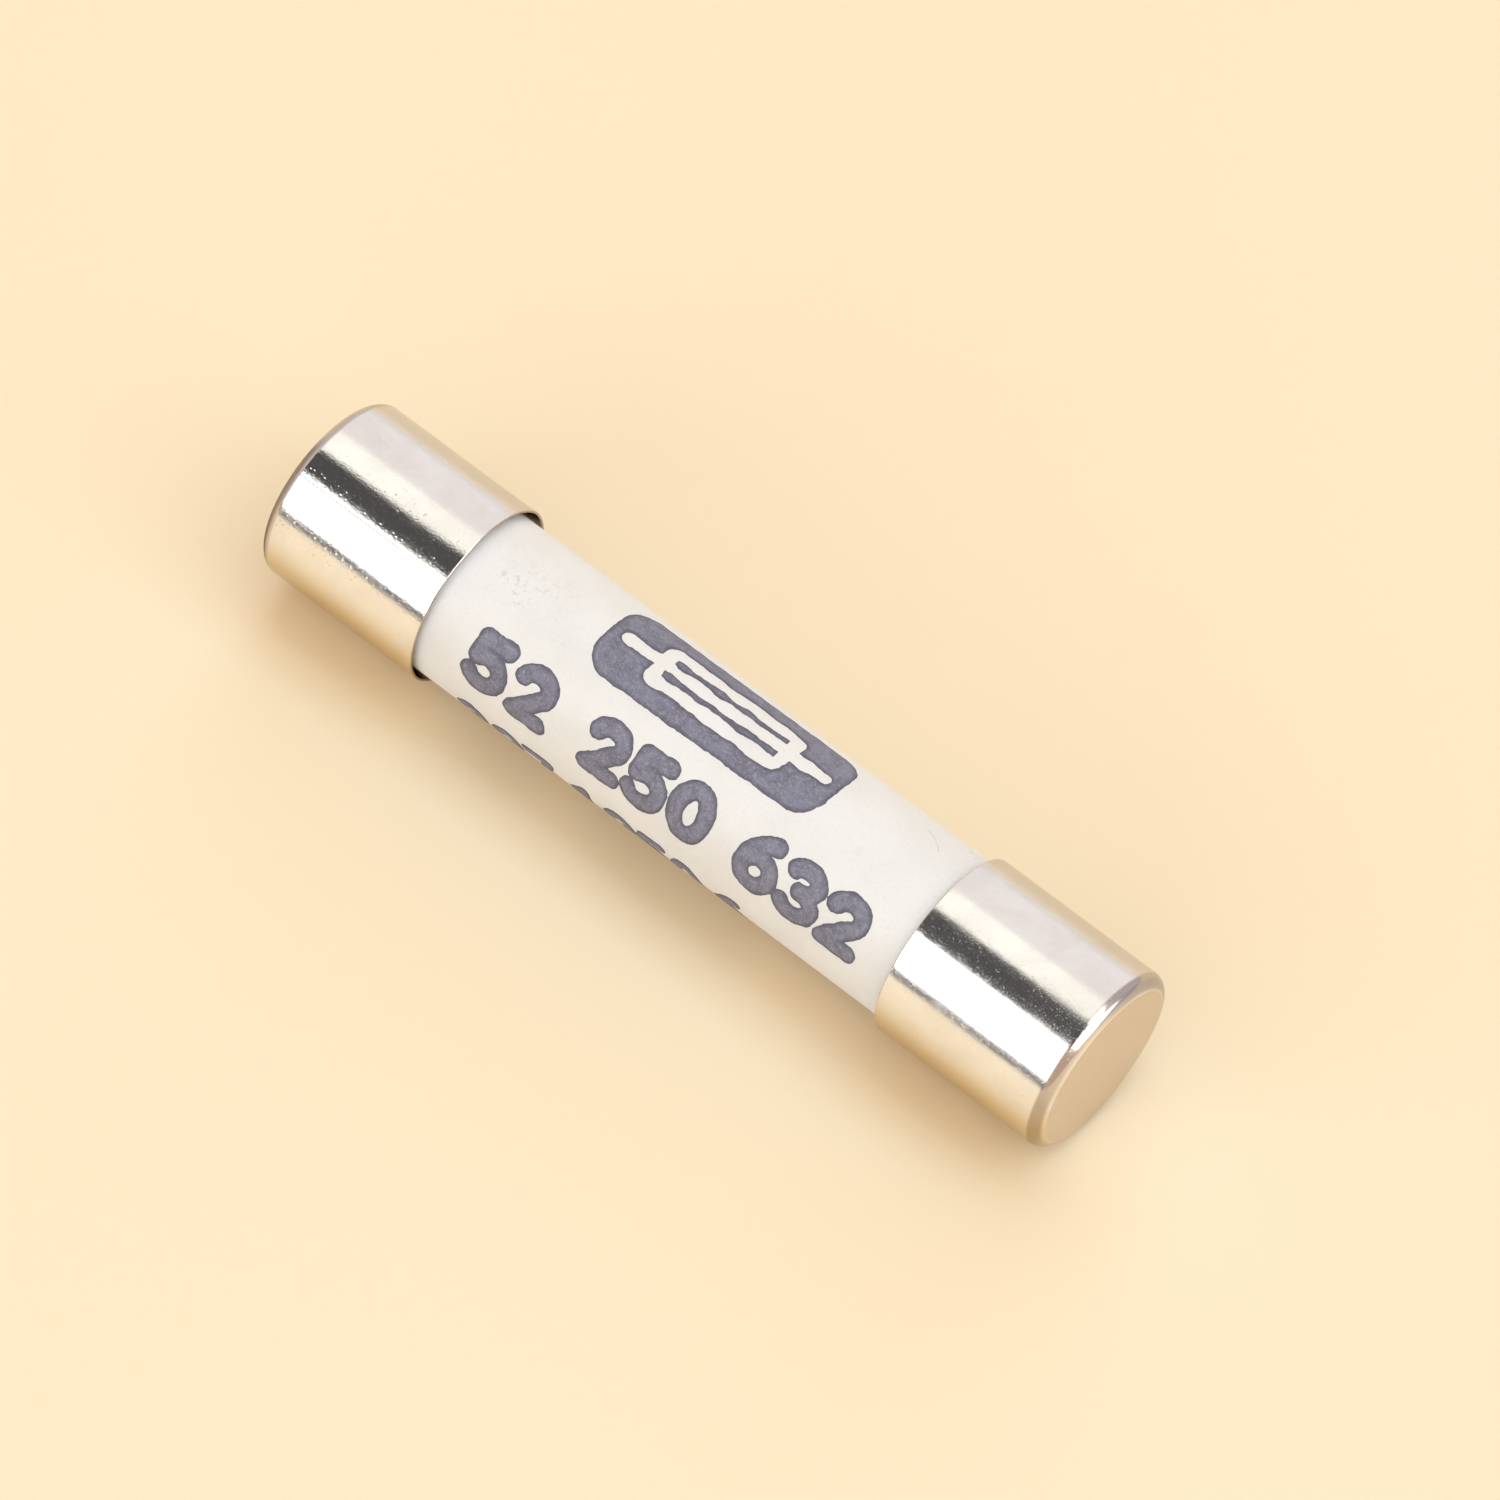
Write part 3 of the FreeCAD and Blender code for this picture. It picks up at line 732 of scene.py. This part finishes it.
def film_faces(inside, index, count):
    """Faces of a closed film over the cells that are inside: its top, its underside and its edges.

    index numbers the points of the top; those of the underside come count later.
    """
    faces = []
    for i, j in zip(*np.nonzero(inside)):
        quad = (index[i, j], index[i + 1, j], index[i + 1, j + 1], index[i, j + 1])
        faces.append(quad)
        faces.append(tuple(corner + count for corner in reversed(quad)))
        for near, far, across in (
            (quad[0], quad[1], (i, j - 1)),
            (quad[1], quad[2], (i + 1, j)),
            (quad[2], quad[3], (i, j + 1)),
            (quad[3], quad[0], (i - 1, j)),
        ):
            if not inside[across]:
                faces.append((near, near + count, far + count, far))
    return faces


def film_grid(node, cell):
    """Grid over the tube round a printed node: u, v and the angle of the middle of the print."""
    margin = 0.3
    low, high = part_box(node)
    corners = np.array([vertex.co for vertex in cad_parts[node].data.vertices])
    turns = np.arctan2(-corners[:, 1], corners[:, 2])
    middle = np.angle(np.exp(1j * turns).mean())
    half_round = np.abs(np.angle(np.exp(1j * (turns - middle)))).max() * TUBE_RADIUS + margin
    along = np.arange(low.x / MM - margin, high.x / MM + margin, cell)
    round_tube = np.arange(-half_round, half_round, cell)
    u, v = np.meshgrid(along, round_tube, indexing="ij")
    return u, v, middle


def print_layer(node, shape, seed):
    """A thin film of ink on the tube, cut out where shape(u, v) is negative.

    u runs along the tube and v round it, both in millimetres; v is 0 at the middle of the film.
    """
    cell = 0.045
    thin_edge = 0.004
    u, v, middle = film_grid(node, cell)

    def edge(u, v):
        return shape(u, v) - ragged(u, v, seed)

    inside = edge(u[:-1, :-1] + cell / 2, v[:-1, :-1] + cell / 2) < 0
    touched = np.zeros(u.shape, int)
    for du, dv in ((0, 0), (1, 0), (0, 1), (1, 1)):
        touched[du:du + inside.shape[0], dv:dv + inside.shape[1]] += inside
    used = touched > 0
    border = used & (touched < 4)
    u, v = pull_to_edge(u, v, border, edge, cell)

    depth = np.where(border, 0.0, np.maximum(-shape(u, v), 0.0))[used]
    angle = (middle - v / TUBE_RADIUS)[used]
    ground = TUBE_RADIUS + tube_relief(u[used], angle)
    rise = thin_edge + (INK_THICKNESS - thin_edge) * (1 - np.exp(-depth / 0.05))
    top = wrap(u[used], angle, ground + rise)
    under = wrap(u[used], angle, ground - INK_THICKNESS)
    index = np.full(u.shape, -1)
    index[used] = np.arange(len(top))
    faces = film_faces(inside, index, len(top))
    points = np.concatenate([top, under])
    marks = {"ink_depth": np.concatenate([depth, depth])}
    return make_piece(f"{node}_ink", points, faces, MATERIALS["ink"], node, marks)


def wrap(along, angle, radius):
    """Points at these places along the tube, angles round it and radii."""
    return np.column_stack([along, -radius * np.sin(angle), radius * np.cos(angle)])


# The same figures and places as the CAD rows: figure and left edge along the tube.
RATING_ROW = [
    ("5", -7.75), ("2", -6.0),
    ("2", -3.05), ("5", -1.35), ("0", 0.35),
    ("6", 3.05), ("3", 4.7), ("2", 6.35),
]
LOWER_ROW = [
    ("3", -7.8), ("2", -6.4), ("7", -5.1),
    ("1", -3.25), ("2", -1.85), ("5", -0.55), ("0", 0.8),
    ("6", 2.55),
]


def make_prints():
    """The panel and the two rows of figures, a little askew as on the real fuse."""
    panel = panel_shape(length=8.95, height=3.2, corner=0.95, lift=0.02)
    rating = figures_shape(RATING_ROW, width=1.72, height=2.2, pen=0.32, lift=0.012)
    lower = figures_shape(LOWER_ROW, width=1.35, height=2.1, pen=0.24, lift=0.01)
    print_layer("print_panel", panel, 21)
    print_layer("print_rating_row", rating, 31)
    print_layer("print_lower_row", lower, 41)


# ---------------------------------------------------------------- studio

# Directions round the fuse as seen from its axis: 0 is the near horizon, 90 overhead, 180 the far one.
# Angles are in degrees and lengths in millimetres, the lens included.
VIEW_HEIGHT = 61.0
VIEW_TILT = 17.95
PICTURE_TURN = 36.72
CAMERA_DISTANCE = 276.17
CAMERA_ASIDE = 1.29
CAMERA_LIFT = 0.61
LENS = 216.0
CARD_DISTANCE = 320.0
SWEEP_START = 105.0
SWEEP_LIFT = 0.1
SWEEP_BEND = 210.0
SWEEP_CURVE = 60.0
SWEEP_HEIGHT = 700.0


def towards(height, tilt):
    """Unit vector at this height round the fuse, leaning this much towards +X."""
    height, tilt = math.radians(height), math.radians(tilt)
    return Vector((
        math.sin(tilt), -math.cos(tilt) * math.cos(height), math.cos(tilt) * math.sin(height)
    ))


def make_camera():
    """A long lens that looks down the fuse from its right end, with the fuse across the picture."""
    back = towards(VIEW_HEIGHT, VIEW_TILT)
    fuse = (Vector((1, 0, 0)) - back * back.x).normalized()
    turn = Matrix.Rotation(math.radians(PICTURE_TURN), 3, back)
    right = turn @ fuse
    up = back.cross(right)
    place = back * CAMERA_DISTANCE + right * CAMERA_ASIDE + up * CAMERA_LIFT
    data = bpy.data.cameras.new("camera")
    data.lens = LENS
    data.sensor_width = 36.0
    data.clip_start = 0.01
    data.clip_end = 20.0
    camera = bpy.data.objects.new("camera", data)
    camera.matrix_world = Matrix.Translation(place * MM) @ Matrix((right, up, back)).transposed().to_4x4()
    bpy.context.scene.collection.objects.link(camera)
    bpy.context.scene.camera = camera


def glow(name, colour, clear):
    """An even glow with this strength of red, green and blue, on a black card or on a clear one."""
    strength = max(max(colour), 0.001)
    material = bpy.data.materials.new(name)
    material.use_nodes = True
    tree = material.node_tree
    shader = tree.nodes["Principled BSDF"]
    shader.inputs["Base Color"].default_value = (0.01, 0.01, 0.01, 1)
    shader.inputs["Roughness"].default_value = 1.0
    shader.inputs["Emission Color"].default_value = (*(share / strength for share in colour), 1)
    shader.inputs["Emission Strength"].default_value = strength
    if clear:
        mixed = tree.nodes.new("ShaderNodeAddShader")
        see_through = tree.nodes.new("ShaderNodeBsdfTransparent")
        tree.links.new(shader.outputs[0], mixed.inputs[0])
        tree.links.new(see_through.outputs[0], mixed.inputs[1])
        tree.links.new(mixed.outputs[0], tree.nodes["Material Output"].inputs["Surface"])
    return material


def bent_card(name, heights, reach, colour, seen):
    """A glowing card bent round the fuse's axis, between two heights and two places along X.

    No camera sees it; seen says whether it shows in the metal, or else only lights the scene.
    """
    steps = 12
    points = []
    for height in np.radians(np.linspace(*heights, steps + 1)):
        y, z = -CARD_DISTANCE * math.cos(height), CARD_DISTANCE * math.sin(height)
        points += [(along, y, z) for along in reach]
    faces = [(2 * n, 2 * n + 1, 2 * n + 3, 2 * n + 2) for n in range(steps)]
    card = add_mesh(name, points, faces, glow(name, colour, clear=not seen))
    card.visible_camera = False
    card.visible_glossy = seen
    card.visible_diffuse = not seen
    card.visible_shadow = False
    card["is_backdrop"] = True


def make_floor():
    """A large plain pale board under the fuse, six metres across."""
    half = 3000.0
    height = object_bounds()[0].z / MM
    corners = [(-half, -half, height), (half, -half, height), (half, half, height), (-half, half, height)]
    board = Surface("pale_board", Roughness=0.6, Specular_IOR_Level=0.1)
    tone = board.noise(board.place, 0.012, 2.0)
    colour = board.blend(board.fade(tone, 0.3, 0.7), (0.8, 0.668, 0.476, 1), (0.82, 0.687, 0.495, 1))
    floor = add_mesh("floor", corners, [(0, 1, 2, 3)], board.set(Base_Color=colour))
    floor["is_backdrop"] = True


def make_backdrop():
    """A sweep of pale paper round the board, seen only by a camera that looks along the board.

    It fades in from nothing where it leaves the board, so no line shows between the two.
    """
    floor_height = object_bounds()[0].z / MM
    lift = floor_height + SWEEP_LIFT
    profile = [(SWEEP_START, lift)]
    profile += arc((SWEEP_BEND, lift + SWEEP_CURVE), SWEEP_CURVE, -90, 0, 13)
    profile.append((SWEEP_BEND + SWEEP_CURVE, lift + SWEEP_HEIGHT))
    points, faces, _ = turned([(height, radius) for radius, height in profile], closed=False)
    paper = Surface(
        "paper_sweep", Base_Color=(0, 0, 0, 1), Roughness=1.0, Specular_IOR_Level=0.0, Emission_Strength=1.0
    )
    on_board = paper.join(paper.x, paper.y, 0.0)
    away = paper.add("ShaderNodeVectorMath", {0: on_board}, 1, operation="LENGTH")
    shade = paper.blend(
        paper.fade(paper.z, 0.0, SWEEP_CURVE), (0.97, 0.82, 0.57, 1), (0.93, 0.84, 0.68, 1)
    )
    solid = paper.fade(away, SWEEP_START, SWEEP_BEND)
    material = paper.set(Emission_Color=shade, Alpha=solid)
    sweep = add_mesh("paper_sweep", points[:, [1, 2, 0]], faces, material, smooth=True)
    sweep.visible_diffuse = False
    sweep.visible_glossy = False
    sweep.visible_transmission = False
    sweep.visible_shadow = False
    sweep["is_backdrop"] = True


# Soft lights that no metal shows, all of one cool tone: name, heights, reach along X and strength.
LIGHT_TONE = (0.4, 0.67, 0.93)
LIGHTS = [
    ("near_low_left", (4, 32), (-230, 0), 3.2),
    ("near_low_right", (4, 32), (0, 230), 2.3),
    ("near_high", (32, 61), (-230, 230), 0.6),
    ("overhead_right", (61, 90), (0, 700), 1.5),
    ("far_high_left", (90, 119), (-230, 0), 2.0),
    ("far_high_right", (90, 119), (0, 700), 3.1),
    ("far_middle", (119, 148), (-230, 0), 1.3),
    ("far_low_left", (148, 176), (-700, -230), 1.2),
    ("far_low", (148, 176), (-230, 0), 2.7),
]

# Cards that the metal shows, in the same terms.
CARDS = [
    ("front_gap", (-1, 9.5), (-300, 55), (0.15, 0.14, 0.13)),
    ("front_softbox", (9.5, 56.5), (-300, 55), (2.4, 2.36, 2.3)),
    ("dark_gap", (56.5, 89.5), (-300, 155), (0.05, 0.053, 0.055)),
    ("overhead_panel", (89.5, 120), (-300, 60), (1.15, 1.12, 1.02)),
    ("far_panel", (120, 170), (-300, 0), (0.9, 0.85, 0.83)),
    ("far_low_line", (170, 176), (-300, 0), (0.78, 0.75, 0.73)),
    ("far_low_panel", (176, 180), (-300, 0), (0.9, 0.84, 0.78)),
    ("left_edge", (-1, 180), (-3000, -300), (0.79, 0.73, 0.71)),
    ("near_right_shade", (-1, 56.5), (55, 3000), (0.69, 0.52, 0.41)),
    ("right_softbox", (56.5, 89.5), (155, 1700), (3.6, 3.6, 3.6)),
    ("right_overhead", (89.5, 114), (60, 1700), (4.0, 4.0, 4.0)),
    ("right_far_softbox", (114, 152), (330, 1700), (3.2, 3.2, 3.2)),
    ("right_edge", (56.5, 152), (1700, 3000), (1.2, 1.05, 0.8)),
    ("far_right_shade", (114, 152), (0, 330), (0.63, 0.56, 0.56)),
    ("far_right_low_shade", (152, 180), (0, 3000), (0.63, 0.56, 0.56)),
]


def make_studio():
    """A warm surround, soft cool lights round the fuse, and the cards that its caps show."""
    world = bpy.data.worlds.new("studio")
    world.use_nodes = True
    background = world.node_tree.nodes["Background"]
    background.inputs["Color"].default_value = (0.8, 0.47, 0.12, 1)
    background.inputs["Strength"].default_value = 1.0
    bpy.context.scene.world = world
    bpy.context.scene.view_settings.view_transform = "Standard"

    for name, heights, reach, strength in LIGHTS:
        colour = [strength * share for share in LIGHT_TONE]
        bent_card(name, heights, reach, colour, seen=False)
    for name, heights, reach, colour in CARDS:
        bent_card(name, heights, reach, colour, seen=True)


# ---------------------------------------------------------------- build

MATERIALS = {
    "cap_metal": nickel(),
    "ceramic": ceramic(),
    "ink": ink(),
    "cement": grainy("brown_cement", (0.33, 0.24, 0.16), (0.14, 0.09, 0.06), 6.0, 0.03, 0.8),
    "fibre": grainy("pressed_fibre", (0.45, 0.31, 0.2), (0.27, 0.17, 0.1), 9.0, 0.015, 0.75),
    "solder": grainy("soft_solder", (0.7, 0.7, 0.71), (0.42, 0.42, 0.44), 3.0, 0.02, 0.38, 1.0),
    "element": grainy("silver_wire", (0.93, 0.92, 0.9), (0.7, 0.69, 0.67), 20.0, 0.002, 0.22, 1.0),
    "sand": quartz(),
}

# Shallow dents of each cap: depth from the closed end, angle, reach and sink.
LEFT_DENTS = [(5.95, -32.0, 0.28, 0.012), (5.6, -26.0, 0.22, 0.008), (2.4, 60.0, 0.7, 0.004)]
RIGHT_DENTS = [(3.1, -20.0, 0.5, 0.004), (1.4, 40.0, 0.6, 0.003)]

make_cap("end_cap_left", -1, 1.0, mouth=(-0.03, 0.04, 90.0), bulge=(0.03, -62.0), dents=LEFT_DENTS)
make_cap("end_cap_right", 1, 2.7, mouth=(0.04, 0.02, 20.0), bulge=(0.0, 0.0), dents=RIGHT_DENTS)
make_tube()
make_prints()

INNER_NODES = {
    "cement_ring_left": "cement",
    "cement_ring_right": "cement",
    "sealing_disc_left": "fibre",
    "sealing_disc_right": "fibre",
    "solder_left": "solder",
    "solder_right": "solder",
    "fuse_wire": "element",
    "quartz_sand": "sand",
}
for inner_node, inner_material in INNER_NODES.items():
    inner_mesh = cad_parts[inner_node].data
    inner_mesh.materials.clear()
    inner_mesh.materials.append(MATERIALS[inner_material])

make_floor()
make_backdrop()
make_camera()
make_studio()
